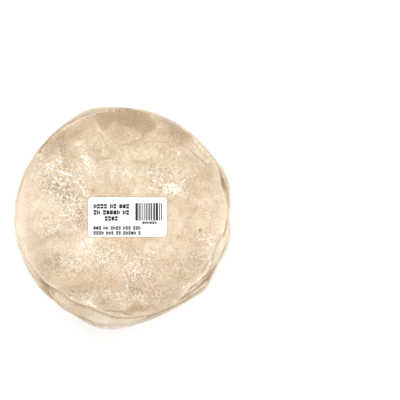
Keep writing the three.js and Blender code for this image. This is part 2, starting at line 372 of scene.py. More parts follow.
# The lamps stand round the pack, in metres: name, angle in degrees, and share of the power.
LAMPS = [
    ("key", 120, 0.34),
    ("far_side", 35, 0.24),
    ("near_side", 215, 0.18),
    ("right_side", 320, 0.24),
]
LAMP_DISTANCE = 2.0
LAMP_RISE = math.radians(40)
LAMP_SIZE = 1.2
FLOOR_HALF = 4
FLOOR_GLOW = 0.05

# The photograph's frame: its width at the height of the pack's top, and its middle from the stack's axis.
FRAME_WIDTH = 305.2
FRAME_MIDDLE = (59.4, 12.7)


def srgb(red, green, blue):
    """A colour as Blender holds it, from the numbers of a picture."""
    def linear(number):
        share = number / 255
        return share / 12.92 if share <= 0.04045 else ((share + 0.055) / 1.055) ** 2.4
    return tuple(linear(number) for number in (red, green, blue))


def smooth(value, low, high):
    """0 where the value is low, 1 where it is high, smooth between."""
    share = np.clip((value - low) / (high - low), 0, 1)
    return share * share * (3 - 2 * share)


def spot_at(radius, angle):
    """The x and y of a point, from its distance and its angle in degrees."""
    turn = np.radians(angle)
    return radius * np.cos(turn), radius * np.sin(turn)


def angle_of(x, y):
    """A point's angle round the stack, in degrees."""
    return np.degrees(np.arctan2(y, x))


def hump(angle, at, width):
    """1 at an angle round the stack, falling to 0 over a width in degrees."""
    return np.exp(-((((angle - at + 180) % 360 - 180) / width) ** 2))


def lobes_at(lobes, angle):
    total = np.zeros_like(angle)
    for at, rise, width in lobes:
        total += rise * hump(angle, at, width)
    return total


def around(places, angle):
    """The strongest of some places round the stack, each an angle, a width and a strength."""
    total = np.zeros_like(angle)
    for at, width, strength in places:
        total = np.maximum(total, strength * hump(angle, at, width))
    return total


def edge_of(layer, angle):
    """How far a pita reaches from the stack's axis, at angles in degrees."""
    if layer == TOP:
        (tuck, lean, towards), lobes, ripple, share = TOP_PLACE, TOP_LOBES, 0, 1
    elif layer == TOP - 1:
        (tuck, lean, towards), lobes, ripple, share = SECOND_PLACE, SECOND_LOBES, SECOND_RIPPLE, 1
    else:
        tuck = TUCK[0] + (TUCK[1] - TUCK[0]) * math.sin(TUCK_SWING * layer) ** 2
        lean = LEAN[0] + (LEAN[1] - LEAN[0]) * abs(math.sin(LEAN_SWING * layer))
        towards, lobes, ripple = LEAN_TURN * layer, PACK_LOBES, RIPPLE
        share = LOW_LOBES + (1 - LOW_LOBES) * float(smooth(layer, 0, PITA_COUNT * LOBES_FULL))
    away = lean * (1 - np.cos(np.radians(angle - towards)))
    waves = sum(size * np.sin(np.radians(times * angle + step * layer)) for times, size, step in EDGE_WAVES)
    return PACK_RADIUS - tuck - away + share * lobes_at(lobes, angle) + ripple * waves


def under_label(x, y):
    """1 under the label, falling to 0 outside it."""
    dx = np.maximum(0, np.abs(x - LABEL_AT[0]) - LABEL_SIZE[0] / 2)
    dy = np.maximum(0, np.abs(y - LABEL_AT[1]) - LABEL_SIZE[1] / 2)
    return 1 - smooth(np.hypot(dx, dy), 1, LABEL_EASE)


def height_at(x, y, level):
    """The height of a level of the stack. Level 0 is the base, and each pita takes up 1."""
    share = np.clip(level / PITA_COUNT, 0, 1)
    angle = angle_of(x, y)
    out = np.hypot(x, y)
    droop = smooth(out, DROOP_FROM, DROOP_TO)
    lift = smooth(out, LIFT_FROM, LIFT_TO)
    wave = sum(size * np.sin(np.radians(times * angle + start)) for times, size, start in HEIGHT_WAVES)
    return (
        PITCH * level
        - TOP_DROOP * share**3 * droop
        + BASE_LIFT * (1 - share) ** 3 * lift
        + RIM_WAVE * share * (1 - share * WAVE_EASE) * droop * wave
    )


def film_face(x, y):
    """The height of the film over the top bread: off its broad relief, and pressed down by the label."""
    lift = FILM_LIFT + (FILM_LIFT_AT_LABEL - FILM_LIFT) * under_label(x, y)
    return height_at(x, y, TOP_FACE_LEVEL) + broad_relief(x, y) + lift


def swell_at(x, y):
    rises = sum(rise * np.exp(-(np.hypot(x - cx, y - cy) / reach) ** 2) for cx, cy, rise, reach in SWELLS)
    return (1 - under_label(x, y)) * rises


def noise_at(x, y, size, seed, z=0.0):
    """Smooth noise from -1 to 1, whose bumps are about as wide as size."""
    points = np.stack(np.broadcast_arrays(x, y, z), axis=-1).reshape(-1, 3) / size + seed
    values = np.array([noise.noise(point) for point in points.tolist()])
    return values.reshape(np.broadcast(x, y, z).shape)


def noise_round(angle, size, seed):
    """Noise that closes on itself round the stack, with bumps about size wide at the rim."""
    return noise_at(*spot_at(PACK_RADIUS, angle), size, seed)


def warped(x, y, by, size, seed):
    """Points moved about by noise, so that what is drawn on them gets uneven edges."""
    return x + by * noise_at(x, y, size, seed), y + by * noise_at(x, y, size, seed + OTHER_SEED)


def patches_at(patches, x, y):
    """How strongly patches cover each point, from 0 to 1."""
    left = np.ones_like(x)
    for cx, cy, along, across, turn, strength in patches:
        c, s = math.cos(math.radians(turn)), math.sin(math.radians(turn))
        u, v = ((x - cx) * c + (y - cy) * s) / along, ((y - cy) * c - (x - cx) * s) / across
        left *= 1 - np.clip(strength * np.exp(-(u * u + v * v)), 0, 1)
    return 1 - left


def distance_to(points, x, y):
    """The distance to a line through points."""
    nearest = np.full_like(x, 1e3)
    for (x0, y0), (x1, y1) in zip(points, points[1:]):
        squared = (x1 - x0) ** 2 + (y1 - y0) ** 2
        share = np.clip(((x - x0) * (x1 - x0) + (y - y0) * (y1 - y0)) / squared, 0, 1)
        nearest = np.minimum(nearest, np.hypot(x - x0 - share * (x1 - x0), y - y0 - share * (y1 - y0)))
    return nearest


def line_at(points, x, y, width):
    """1 on a line through points, falling to 0 over a width."""
    return np.exp(-(distance_to(points, x, y) / width) ** 2)


def spun(name, profile, sides):
    """A mesh turned round the Z axis from a profile of (radius, height), from axis to axis.

    One wedge is spun and then doubled until the turn is full, which is far quicker than a full spin.
    """
    shape = bmesh.new()
    verts = [shape.verts.new((radius, 0, height)) for radius, height in profile]
    edges = [shape.edges.new(pair) for pair in zip(verts, verts[1:])]
    bmesh.ops.spin(
        shape,
        geom=verts + edges,
        cent=(0, 0, 0),
        axis=(0, 0, 1),
        angle=math.tau / WEDGES,
        steps=sides // WEDGES,
    )
    filled = 1
    while filled < WEDGES:
        copy = bmesh.ops.duplicate(shape, geom=list(shape.verts) + list(shape.edges) + list(shape.faces))
        turned = [part for part in copy["geom"] if isinstance(part, bmesh.types.BMVert)]
        turn = Matrix.Rotation(math.tau * filled / WEDGES, 3, "Z")
        bmesh.ops.rotate(shape, cent=(0, 0, 0), matrix=turn, verts=turned)
        filled *= 2
    bmesh.ops.remove_doubles(shape, verts=shape.verts, dist=MERGE_WITHIN)
    bmesh.ops.recalc_face_normals(shape, faces=shape.faces)
    return mesh_from(shape, name)


def points_of(mesh):
    flat = np.empty(len(mesh.vertices) * 3)
    mesh.vertices.foreach_get("co", flat)
    return flat.reshape(-1, 3).T


def mesh_from(shape, name):
    mesh = bpy.data.meshes.new(name)
    shape.to_mesh(mesh)
    shape.free()
    return mesh


def add_object(name, data):
    thing = bpy.data.objects.new(name, data)
    bpy.context.scene.collection.objects.link(thing)
    return thing


def put_points(mesh, x, y, z):
    """Places a mesh's vertices, given in millimetres from the stack's axis, in the frame in metres."""
    centre = stack_centre()
    place = np.stack([x * MM + centre.x, y * MM + centre.y, z * MM], axis=1)
    mesh.vertices.foreach_set("co", place.ravel())
    mesh.update()


def put_mask(mesh, name, values):
    mask = mesh.attributes.new(name, "FLOAT", "POINT")
    mask.data.foreach_set("value", np.asarray(values, np.float32))


def stack_centre():
    """The stack's axis in the frame, found from the label."""
    low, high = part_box("label")
    middle = (low + high) / 2
    return Vector((middle.x - LABEL_AT[0] * MM, middle.y - LABEL_AT[1] * MM, 0))


def add_piece(mesh, material, slot, *nodes):
    """Shows a mesh as a smooth piece that rides on the stack and stands for nodes."""
    piece = add_object(mesh.name, mesh)
    mesh.materials.append(material)
    mesh.shade_smooth()
    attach(piece, "root")
    if nodes:
        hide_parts(*nodes)
    return piece


class Value:
    """A socket in a material, on which arithmetic adds Math nodes."""

    def __init__(self, finish, socket):
        self.finish = finish
        self.socket = socket

    def maths(self, operation, *values):
        return self.finish.add("Math", {"operation": operation}, dict(enumerate(values)))

    def __add__(self, other):
        return self.maths("ADD", self, other)

    def __sub__(self, other):
        return self.maths("SUBTRACT", self, other)

    def __rsub__(self, other):
        return self.maths("SUBTRACT", other, self)

    def __mul__(self, other):
        return self.maths("MULTIPLY", self, other)

    __radd__ = __add__
    __rmul__ = __mul__

    def size(self):
        return self.maths("ABSOLUTE", self)

    def largest(self, other):
        return self.maths("MAXIMUM", self, other)

    def smallest(self, other):
        return self.maths("MINIMUM", self, other)

    def ramp(self, low, high):
        """0 where the value is low, 1 where it is high, smooth between."""
        sockets = {"Value": self, "From Min": low, "From Max": high}
        return self.finish.add("MapRange", {"interpolation_type": "SMOOTHSTEP"}, sockets)


class Finish:
    """A material and the nodes that make it."""

    def __init__(self, name):
        self.material = bpy.data.materials.new(name)
        self.material.use_nodes = True
        self.tree = self.material.node_tree
        self.tree.nodes.clear()
        self.shader = self.tree.nodes.new("ShaderNodeBsdfPrincipled")
        self.output = self.tree.nodes.new("ShaderNodeOutputMaterial")
        self.body = Value(self, self.shader.outputs[0])
        self.show(self.body)

    def show(self, shader):
        self.tree.links.new(shader.socket, self.output.inputs["Surface"])

    def add(self, kind, settings=None, sockets=None, out=0):
        """Adds a node, makes its settings, fills its sockets, and gives back one of its outputs."""
        node = self.tree.nodes.new("ShaderNode" + kind)
        for name, value in (settings or {}).items():
            setattr(node, name, value)
        for name, value in (sockets or {}).items():
            self.fill(node.inputs[name], value)
        return Value(self, node.outputs[out])

    def fill(self, socket, value):
        if isinstance(value, Value):
            self.tree.links.new(value.socket, socket)
        else:
            socket.default_value = (*value, 1) if socket.type == "RGBA" else value

    def set(self, **sockets):
        """Fills the shader's own sockets, named with _ for a space."""
        for name, value in sockets.items():
            self.fill(self.shader.inputs[name.replace("_", " ")], value)

    def mask(self, name):
        return self.add("Attribute", {"attribute_name": name}, out="Fac")

    def place(self, shift):
        """The place on the object in millimetres, moved by a shift."""
        where = self.add("TexCoord", out="Object")
        sockets = {"Vector": where, "Location": shift, "Scale": (1 / MM, 1 / MM, 1 / MM)}
        return self.add("Mapping", {}, sockets)

    def noise(self, size, detail=2, at=(0, 0, 0), rough=0.5, warp=0.0):
        """Noise from -0.5 to 0.5, whose bumps are about size millimetres wide."""
        sockets = {
            "Vector": self.place(at),
            "Scale": 1 / size,
            "Detail": detail,
            "Roughness": rough,
            "Distortion": warp,
        }
        return self.add("TexNoise", {}, sockets) - 0.5

    def blend(self, share, first, second):
        """A colour between two colours."""
        sockets = {"Factor": share, 6: first, 7: second}
        return self.add("Mix", {"data_type": "RGBA"}, sockets, out=2)

    def bump(self, height, depth, under=None):
        """A normal from a height of 0 to 1 that stands for depth millimetres."""
        sockets = {"Height": height, "Distance": depth * MM}
        if under:
            sockets["Normal"] = under
        return self.add("Bump", {}, sockets)

    def strokes(self, size, thickness, at):
        """Fine curled lines, broken into short strokes: where noise crosses its middle."""
        curls = self.noise(size, detail=1, at=at, rough=0.6, warp=0.6)
        breaks = self.noise(size * 0.9, detail=1, at=[-part for part in at])
        return (1 - curls.size().ramp(0, thickness)) * breaks.ramp(low=-0.02, high=0.05)


def colour(name, description, default):
    """A colour that a user may change."""
    return FloatVectorProperty(
        name=name,
        description=description,
        default=default,
        size=3,
        min=0,
        max=1,
        subtype="COLOR",
    )


def length(name, description, default, low, high):
    """A length in metres that a user may change."""
    return FloatProperty(
        name=name,
        description=description,
        default=default,
        min=low,
        max=high,
        unit="LENGTH",
        subtype="DISTANCE",
    )


def strength(name, description, default, high):
    """A strength that a user may change, from 0 up."""
    return FloatProperty(
        name=name,
        description=description,
        default=default,
        min=0,
        max=high,
        subtype="FACTOR",
    )


class BreadLooks(bpy.types.PropertyGroup):
    crust: colour("Crust", "Colour of the darker parts of plain crust", srgb(172, 146, 113))
    pale: colour("Pale Crust", "Colour of the palest crust and of the rims", srgb(223, 200, 170))
    yellow: colour("Yellow Crust", "Colour of the palest yellow crust", srgb(221, 205, 171))
    # This colour also paints shade on the low side of a fold on the top face.
    toasted: colour("Toasted", "Colour of the most toasted patches", srgb(160, 133, 98))
    flour: colour("Flour", "Colour of the flour on the crust", srgb(253, 249, 238))
    # Painted shade: this colour darkens the creases of the top face and the gaps between the rims.
    painted_shade: colour("Creases", "Colour of the deep creases between the rims", srgb(146, 116, 82))
    relief: length("Relief", "Depth of the fine unevenness of the crust", 0.25 * MM, 0, 2 * MM)


class FilmLooks(bpy.types.PropertyGroup):
    gap: length("Gap", "How far tight film stands off the breads", FILM_GAP * MM, 0.05 * MM, 2 * MM)
    pleat: length("Pleats", "Height of the pleats where the film turns over the rims", 0.45 * MM, 0, 3 * MM)
    # This white also paints the glints on the film's fine wrinkles.
    white: colour("White", "Colour of the film where it is scuffed or drawn together", srgb(240, 236, 222))
    haze: strength("Haze", "How much the flat film whitens what is behind it", 0.03, 1)


class LabelLooks(bpy.types.PropertyGroup):
    paper: colour("Paper", "Colour of the label's paper", srgb(240, 241, 239))
    ink: colour("Ink", "Colour of the label's print", srgb(20, 20, 22))
    thickness: length("Thickness", "Thickness of the label's paper", 0.14 * MM, 0.05 * MM, 0.5 * MM)


class StageLooks(bpy.types.PropertyGroup):
    floor: colour("Floor", "Colour of the floor", (0.97, 0.97, 0.97))
    key: FloatProperty(
        name="Key Light",
        description="Power of the large soft light",
        default=47,
        min=0,
        unit="POWER",
    )
    fill: strength("Fill Light", "Strength of the light from all round", 0.75, 5)
    distance: length("Camera Distance", "How far the camera stands above the top of the pack", 2.2, 0.3, 10)


def crust_material(looks):
    """Pale crust with toasted patches, flour and a fine uneven grain, with painted shade in its creases,
    below a fold and between the rims, and a painted highlight on one lip.
    """
    finish = Finish("Crust")
    broad = finish.noise(size=15, detail=3, rough=0.6, warp=0.8)
    cloud = finish.noise(size=5, detail=4, at=(31, 17, 5), rough=0.62, warp=0.6)
    fine = finish.noise(size=2, detail=3, at=(7, 43, 19), rough=0.6, warp=0.3)
    grain = finish.noise(size=0.9, at=(3, 11, 37))
    toast_and_shade = finish.mask("toast_and_shade")
    flour = finish.mask("flour")
    scuff_and_glint = finish.mask("scuff_and_glint")
    rim = finish.mask("rim")

    paleness = broad * 0.8 + cloud * 1.1 + fine * 0.8 + grain * 1.6 + rim * 0.3 + 0.425
    yellow = finish.mask("sallow") + cloud * 0.8
    colour = finish.blend(paleness, looks.crust, finish.blend(yellow, looks.pale, looks.yellow))
    # Toasting, and in one patch painted shade below a fold.
    browning = (toast_and_shade * 1.25 + cloud * 1.5 + fine * 0.7 + grain * 0.6).ramp(low=0.1, high=1.15)
    colour = finish.blend(browning, colour, looks.toasted)
    colour = finish.blend(rim * 0.42, colour, looks.flour)
    dusting = (flour + cloud * 1.6 + fine * 1.2 + grain * 0.9).ramp(low=0.35, high=1.05)
    long_strokes = finish.strokes(size=3.6, thickness=0.075, at=(3, 8, 1))
    short_strokes = finish.strokes(size=2.2, thickness=0.1, at=(21, 5, 9))
    dots = finish.noise(size=0.7, detail=0, at=(47, 2, 23))
    specks = (dots * 1.6 + fine * 0.6 + cloud * 0.4 + scuff_and_glint * 0.12).ramp(low=0.26, high=0.38)
    strokes = long_strokes.largest(short_strokes) * (scuff_and_glint * 1.2 + 0.05)
    marks = strokes.largest(specks * (scuff_and_glint * 1.2 + 0.25))
    # White lines: flour, and along one lip of the top bread's edge a painted highlight.
    lines = finish.mask("streak") + cloud * 0.8 + fine * 1.3 + grain * 0.9
    streaks = lines.ramp(low=0.62, high=0.95)
    white = dusting.largest(marks).largest(streaks)
    colour = finish.blend(white * 0.95, colour, looks.flour)
    # Painted shade in the creases of the top face and between the rims below it.
    shade_mask = finish.mask("gap") + cloud * 0.3 + fine * 0.5 + grain * 0.3
    shade_amount = shade_mask.ramp(low=0.15, high=1.05)
    colour = finish.blend(shade_amount * 0.95, colour, looks.painted_shade)

    relief = looks.relief / MM
    coarse = finish.bump(cloud, relief * 2)
    finish.set(
        Base_Color=colour,
        Roughness=0.86 + fine * 0.1,
        Specular_IOR_Level=0.3,
        Normal=finish.bump(fine * 0.8 + grain * 0.6 + marks * 0.4, relief, coarse),
    )
    return finish.material


def film_material(looks):
    """Clear film: nearly nothing where it lies flat, white where it is drawn together, with fine strokes of
    painted glints on its wrinkles.
    """
    finish = Finish("Film")
    scuff_and_glint = finish.mask("scuff_and_glint")
    haze = finish.mask("haze")
    strokes = finish.strokes(size=3.4, thickness=0.03, at=(40, 28, 1))
    cloud = finish.noise(size=6, detail=3, at=(5, 5, 5))
    wrinkles = finish.noise(size=2.4, detail=3, at=(9, 2, 4), rough=0.6, warp=0.8)
    crinkle = finish.bump(wrinkles, depth=0.1)
    # The strokes in the patches are painted glints on the film's wrinkles.
    cover = looks.haze + strokes * scuff_and_glint * 0.5 + haze * (0.4 + cloud * 0.8)
    finish.set(Base_Color=looks.white, Roughness=0.3, Normal=crinkle, Alpha=cover.smallest(0.9))
    gloss = finish.add("BsdfGlossy", {}, {"Color": (1, 1, 1), "Roughness": 0.12, "Normal": crinkle})
    edge_on = finish.add("LayerWeight", {}, {"Blend": 0.5}, out="Facing")
    glint = edge_on.maths("POWER", edge_on, 5) * 0.38 + 0.03
    finish.show(finish.add("MixShader", {}, {0: glint, 1: finish.body, 2: gloss}))
    return finish.material


def paper_material(looks):
    """Smooth label paper with a faint fibre."""
    finish = Finish("Label paper")
    fibre = finish.noise(size=0.7, detail=3)
    drift = finish.noise(size=12)
    shade = [part * 0.94 for part in looks.paper]
    finish.set(
        Base_Color=finish.blend((fibre + drift).ramp(low=-0.3, high=0.2), shade, looks.paper),
        Roughness=0.56 + fibre * 0.12,
        Normal=finish.bump(fibre, depth=0.02),
    )
    return finish.material


def ink_material(looks):
    """Print burnt into the paper, a little uneven."""
    finish = Finish("Label ink")
    wear = finish.noise(size=0.45).ramp(low=0.05, high=0.35)
    finish.set(
        Base_Color=finish.blend(wear * 0.25, looks.ink, srgb(120, 120, 120)),
        Roughness=0.6,
    )
    return finish.material


def rim_profile(steps):
    """The rim's section from the underside to the top: distance from the edge, and share of the height."""
    taper = [RIM_ZONE + (NOSE_ZONE - RIM_ZONE) * step / steps for step in range(steps + 1)]
    turns = [math.radians(turn) for turn in (*range(-90, 91, NOSE_STEP), 90)]
    under = [(inward, 0) for inward in taper]
    nose = [(NOSE_DEPTH * (1 - math.cos(turn)), 0.5 + 0.5 * math.sin(turn)) for turn in turns]
    return under + nose + [(inward, 1) for inward in reversed(taper)]


def rings_of(count):
    """The radii of the template's rings, from its middle to just inside its rim."""
    return [TEMPLATE_FACE * ring / count for ring in range(count)]


def pita_mesh(layer):
    """One bread: a disc with a rounded rim, bent to its outline and its place in the stack."""
    is_top = layer == TOP
    near_top = layer >= PITA_COUNT - UPPER_PITAS
    sides = TOP_SIDES if is_top else UPPER_SIDES if near_top else LOWER_SIDES
    section = rim_profile(UPPER_RIM_STEPS if near_top else LOWER_RIM_STEPS)
    under = [(radius, 0) for radius in rings_of(RINGS)]
    rim = [(TEMPLATE_FACE + RIM_ZONE - inward, height) for inward, height in section]
    face = [(radius, 1) for radius in reversed(rings_of(TOP_RINGS if is_top else RINGS))]
    mesh = spun(f"pita_bread_{layer + 1:02d}", under + rim + face, sides)

    x, y, share = points_of(mesh)
    out = np.hypot(x, y)
    angle = angle_of(x, y)
    edge = edge_of(layer, angle)
    edge += sum(rise * noise_round(angle, size, step * layer) for rise, size, step in EDGE_NOISE)
    on_rim = out > TEMPLATE_FACE
    inward = np.where(on_rim, TEMPLATE_FACE + RIM_ZONE - out, RIM_ZONE)
    radius = np.where(on_rim, edge - inward, out / TEMPLATE_FACE * (edge - RIM_ZONE))
    x, y = spot_at(radius, angle)

    low = np.maximum(height_at(x, y, layer), BREAD_BASE)
    high = height_at(x, y, layer + 1 - AIR / PITCH)
    near_edge = 1 - smooth(inward, THINNED_FROM, THINNED_TO)
    uneven = noise_round(angle, size=14, seed=9.7 * layer + 4)
    thin = 1 - near_edge * (THINNING + THINNING_NOISE * uneven)
    free = (high - low) * (1 - thin) / 2 + AIR / 2
    sway = np.full_like(x, -1)
    if not is_top:
        sway = np.clip(SWAY * noise_round(angle, size=16, seed=3.9 * layer + 8), -1, 1)
    shift = near_edge * free * sway
    z = (low + high) / 2 + shift + (share - 0.5) * (high - low) * thin

    upper = smooth(share, low=0.45, high=0.95)
    if is_top:
        z += upper * face_relief(x, y, inward)
        masks = top_masks(x, y, upper)
    else:
        z += LOWER_WRINKLES * upper * noise_at(x, y, size=5, seed=layer)
        masks = lower_masks(layer, x, y, near_edge)
    if near_top and not is_top:
        # Painted shade between the rims just below the top bread.
        masks["gap"] = rim_shade_at(x, y) * smooth(share, low=0.2, high=0.7)
    pale = around(PALE_SIDES, angle) * smooth(radius, *PALE_ZONE)
    pale = np.maximum(pale, masks.pop("pale"))
    edge_pale = RIM_PALENESS * near_edge * (1 - masks["toast_and_shade"])
    masks["rim"] = np.maximum(edge_pale, pale) * smooth(share, low=-0.2, high=0.4)

    put_points(mesh, x, y, z)
    for name, values in masks.items():
        put_mask(mesh, name, values)
    return mesh


def top_masks(x, y, upper):
    """How toasted, floured and so on the top bread is at each point, and where shade and a highlight are
    painted on it.
    """
    loose_x, loose_y = warped(x, y, *PATCH_WARP)
    bent_x, bent_y = warped(x, y, *LINE_WARP)
    streak, gap = np.zeros((2, len(x)))
    # White lines go to the streak mask; dark lines are painted shade along the creases and go to the gap
    # mask.
    for points, _, width, tone in CREASES:
        line = line_at(points, bent_x, bent_y, LINE_SPREAD * width)
        if tone > 0:
            streak = np.maximum(streak, tone * line)
        else:
            gap = np.maximum(gap, -tone * line)
    return {
        "toast_and_shade": upper * patches_at(TOAST_AND_SHADE_PATCHES, loose_x, loose_y),
        "flour": patches_at(FLOURED, loose_x, loose_y),
        "scuff_and_glint": patches_at(SCUFF_AND_GLINT_PATCHES, loose_x, loose_y),
        "streak": streak,
        "gap": gap,
        "pale": patches_at(PALE_SPOTS, loose_x, loose_y),
        "sallow": patches_at(SALLOW, x, y),
    }


def lower_masks(layer, x, y, near_edge):
    """The same for a lower bread, of which little more than the rim shows."""
    nothing = np.zeros_like(x)
    angle = angle_of(x, y)
    blotches = noise_at(x, y, size=17, seed=7.7 * layer)
    browned = np.clip(BROWNING[0] * blotches + BROWNING[1], 0, 1) * (1 - RIM_UNTOASTED * near_edge)
    brown_rim = around(BROWN_SIDES, angle) * smooth(np.hypot(x, y), *BROWN_ZONE)
    dusted = np.clip(0.9 * noise_at(x, y, size=13, seed=4.4 * layer + 2), 0, 1)
    return {
        "toast_and_shade": np.maximum(browned, brown_rim),
        "flour": LOWER_FLOUR * dusted,
        "scuff_and_glint": nothing,
        "streak": nothing,
        "gap": nothing,
        "pale": nothing,
        "sallow": np.maximum(LOWER_SALLOW, around(SALLOW_SIDES, angle)),
    }


def rim_shade_at(x, y):
    """How much painted shade darkens the rims below the top bread: in the gap at its edge and along the
    dark lines.
    """
    angle = angle_of(x, y)
    beyond = np.hypot(x, y) - edge_of(TOP, angle)
    shaded = smooth(beyond, *BELOW_EDGE) * (1 - smooth(beyond, *BEYOND_EDGE))
    gap = shaded * around(GAP_SHADE, angle)
    for points, width, strength in RIM_SHADE_LINES:
        gap = np.maximum(gap, strength * line_at(points, x, y, RIM_SHADE_SPREAD * width))
    return gap


def broad_relief(x, y):
    """How far the top bread's face stands above its level: its swells, blisters and folds."""
    rise, size, seed = BLISTERS
    relief = rise * noise_at(x, y, size, seed)
    for points, rise, reach in FOLDS:
        relief += rise * fold_at(points, reach, x, y)
    return swell_at(x, y) + (1 - under_label(x, y)) * relief


def face_relief(x, y, inward):
    """The whole relief of the top bread's face, with its wrinkles and creases too."""
    relief = sum(rise * noise_at(x, y, size, seed) for rise, size, seed in WRINKLES)
    bent_x, bent_y = warped(x, y, *LINE_WARP)
    for points, rise, width, _ in CREASES:
        relief += rise * line_at(points, bent_x, bent_y, width)
    return (broad_relief(x, y) + (1 - under_label(x, y)) * relief) * smooth(inward, 0, 3)


def fold_at(points, reach, x, y):
    """1 on the high side of a line, its left, falling away over its reach, and 0 on the low side."""
    away = distance_to(points, x, y)
    side = np.zeros_like(x)
    for start, end in zip(points, points[1:]):
        near = distance_to((start, end), x, y) <= away + 1e-6
        turn = (end[0] - start[0]) * (y - start[1]) - (end[1] - start[1]) * (x - start[0])
        side = np.where(near, turn, side)
    signed = np.sign(side) * away
    return smooth(signed, -FOLD_EASE, FOLD_EASE) * np.exp(-(np.maximum(signed, 0) / reach) ** 2)


def add_breads(looks):
    material = crust_material(looks)
    for layer in range(PITA_COUNT):
        mesh = pita_mesh(layer)
        add_piece(mesh, material, "bread", f"pita_{layer + 1:02d}")


def outer_chain(points):
    """The outward side of the hull round (radius, height) points, from the top down."""
    chain = []
    for point in sorted(points, key=lambda p: (-p[1], p[0])):
        while len(chain) > 1 and turns_in(chain[-2], chain[-1], point):
            chain.pop()
        chain.append(point)
    return chain


def turns_in(first, middle, last):
    """True if the middle point lies inside the line from first to last, seen from outside the stack."""
    (r0, z0), (r1, z1), (r2, z2) = first, middle, last
    return (r1 - r0) * (z2 - z0) - (r2 - r0) * (z1 - z0) >= 0


def film_chains(gap):
    """The film's section at each angle, as rows of (radius, height) from the top face to the base."""
    angle = np.arange(FILM_SIDES) * 360 / FILM_SIDES
    rows = []
    for layer in range(PITA_COUNT):
        edge = edge_of(layer, angle) + gap
        x, y = spot_at(edge, angle)
        low = height_at(x, y, layer) + FILM_NOSE
        high = height_at(x, y, layer + 1 - AIR / PITCH) - FILM_NOSE
        rows += [(edge, low), (edge, high)]
        inner, corner = edge - RIM_ZONE / 2, edge - FILM_CORNER
        if layer == 0:
            rows.append((inner, np.full_like(inner, FILM_BASE)))
            rows.append((corner, np.full_like(inner, FILM_BASE + FILM_NOSE)))
        elif layer == TOP:
            rows.append((inner, film_face(*spot_at(inner, angle))))
            rows.append((corner, high + FILM_CORNER_RISE))
    chains = np.empty((FILM_SIDES, FILM_STEPS + 1, 2))
    for index in range(FILM_SIDES):
        chain = np.array(outer_chain([(float(r[index]), float(z[index])) for r, z in rows]))
        along = np.concatenate([[0], np.cumsum(np.hypot(*np.diff(chain, axis=0).T))])
        wanted = np.linspace(0, along[-1], FILM_STEPS + 1)
        for axis in (0, 1):
            chains[index, :, axis] = np.interp(wanted, along, chain[:, axis])
    for _ in range(FILM_EASINGS):
        chains = (np.roll(chains, 1, 0) + 2 * chains + np.roll(chains, -1, 0)) / 4
    return chains


def film_mesh(looks):
    """The film: down over the face of the top bread, tight round the rims and under the base."""
    base = [(radius, 0) for radius in (*rings_of(RINGS), TEMPLATE_FACE)]
    wall_radius = TEMPLATE_FACE + RIM_ZONE / 2
    side = [(wall_radius, 1 - step / FILM_STEPS) for step in reversed(range(1, FILM_STEPS))]
    top = [(radius, 1) for radius in (TEMPLATE_FACE, *reversed(rings_of(FILM_RINGS)))]
    mesh = spun("clear_film", base + side + top, FILM_SIDES)

    x, y, share = points_of(mesh)
    out = np.hypot(x, y)
    angle = angle_of(x, y) % 360
    index = np.rint(angle / 360 * FILM_SIDES).astype(int) % FILM_SIDES
    row = np.rint((1 - share) * FILM_STEPS).astype(int)
    chain = film_chains(looks.gap / MM)[index, row]
    on_side = out > TEMPLATE_FACE + 2
    radius = np.where(on_side, chain[:, 0], out / TEMPLATE_FACE * chain[:, 0])

    down = row / FILM_STEPS
    shoulder = np.exp(-((down - SHOULDER_AT) / SHOULDER_WIDTH) ** 2) * on_side
    wall = on_side * smooth(down, *WALL_FROM) * (1 - smooth(down, *WALL_TO))
    pleats = np.clip(1 - np.abs(noise_round(angle, size=5.5, seed=40)) * PLEAT_SHARPNESS, 0, 1)
    crumple = noise_at(*spot_at(radius, angle), size=8, seed=60, z=row * ROW_SPACING)
    folds = np.clip(1 - np.abs(crumple) * FOLD_SHARPNESS, 0, 1)
    proud = looks.pleat / MM * (shoulder * pleats + PROUD_FOLDS * wall * folds**2)
    radius = radius + proud
    x, y = spot_at(radius, angle)
    flat = np.where(share > 0.5, film_face(x, y), FILM_BASE)
    put_points(mesh, x, y, np.where(on_side, chain[:, 1] + 0.4 * proud * shoulder, flat))

    on_face = ~on_side & (share > 0.5)
    # Where the film's painted glints show on its face.
    put_mask(mesh, "scuff_and_glint", patches_at(SCUFF_AND_GLINT_PATCHES, x, y) * on_face)
    beyond = smooth(radius - edge_of(TOP, angle), -0.5, 2.5)
    whitened = around(FILM_HAZE, angle) * beyond * (row < FILM_STEPS / 3)
    put_mask(mesh, "haze", np.clip(whitened, 0, 1) + WHITE_FOLDS * wall * folds**3)
    return mesh


def label_height(x, y):
    """The height of the label's underside: level, with the faint rise and fall of what it is stuck to."""
    uneven = noise_at(x, y, size=16, seed=70)
    return PITCH * PITA_COUNT + LABEL_REST + LABEL_UNEVEN * (1 + uneven)


def drape(mesh, thickness, lift=0.0):
    """Lays a flat mesh, whose heights run from 0 to 1, on the label's level."""
    x, y, share = points_of(mesh)
    put_points(mesh, x, y, label_height(x, y) + lift + share * thickness)


